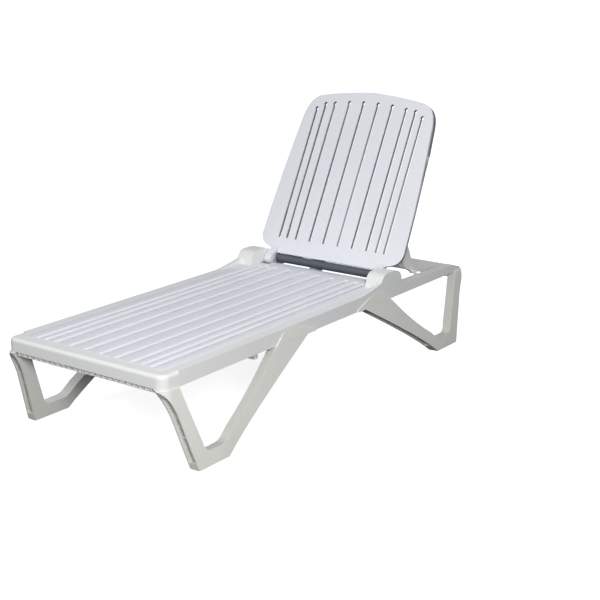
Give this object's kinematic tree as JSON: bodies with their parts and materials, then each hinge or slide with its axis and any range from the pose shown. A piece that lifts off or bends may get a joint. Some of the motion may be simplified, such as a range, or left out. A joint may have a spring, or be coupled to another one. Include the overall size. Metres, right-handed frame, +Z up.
{
  "type": "reclining sun lounger",
  "caption": "White resin sun lounger: slatted seat on splayed loop legs, and a slatted back that reclines on hinge pins and is held by a folding prop.",
  "frame": {"origin": "centre of the box of the lounger, back raised, at ground level", "axes": "+X to the head end, +Y to the left, +Z up"},
  "size_m": [1.8884, 0.788, 1.0128],
  "materials": {
    "slat_white": "fine satin moulded resin, cool white",
    "frame_white": "satin moulded resin, white",
    "leg_white": "satin moulded resin, warm white",
    "prop_white": "satin moulded resin, white",
    "pin_grey": "satin light grey nylon",
    "tube_grey": "satin dark blue-grey resin",
    "screw_steel": "zinc plated"
  },
  "bodies": {
    "frame": {"foot_end_bar": "frame_white", "head_end_bar": "frame_white", "side_rail_left": "frame_white", "side_rail_right": "frame_white", "seat_panel": "slat_white", "foot_leg_left": "leg_white", "foot_leg_right": "leg_white", "head_leg_left": "leg_white", "head_leg_right": "leg_white", "foot_brace": "frame_white", "head_brace": "frame_white", "hinge_housing_left": "frame_white", "hinge_housing_right": "frame_white", "hinge_pin_left": "pin_grey", "hinge_pin_right": "pin_grey", "prop_rack_left": "prop_white", "prop_rack_right": "prop_white", "leg_screws": "screw_steel", "frame_screws": "screw_steel", "housing_screws": "screw_steel", "rack_screws": "screw_steel"},
    "backrest": {"backrest_panel": "slat_white", "backrest_cross_tube": "tube_grey", "prop_bracket_left": "prop_white", "prop_bracket_right": "prop_white", "prop_pin_left": "pin_grey", "prop_pin_right": "pin_grey"},
    "prop": {"prop_arm_left": "prop_white", "prop_arm_right": "prop_white", "prop_crossbar": "prop_white"}
  },
  "joints": [
    {"name": "backrest_recline", "type": "hinge", "parent": "frame", "child": "backrest", "pos_m": [0.4085, 0, 0.348], "axis": [0, 1, 0], "range_deg": [0, 61.9]},
    {"name": "prop_fold", "type": "hinge", "parent": "backrest", "child": "prop", "pos_m": [0.53358, 0, 0.50794], "axis": [0, 1, 0], "range_deg": [-124, 0]}
  ],
  "couplings": [
    {"joint": "prop_fold", "follows": "backrest_recline", "ratio": -2}
  ]
}
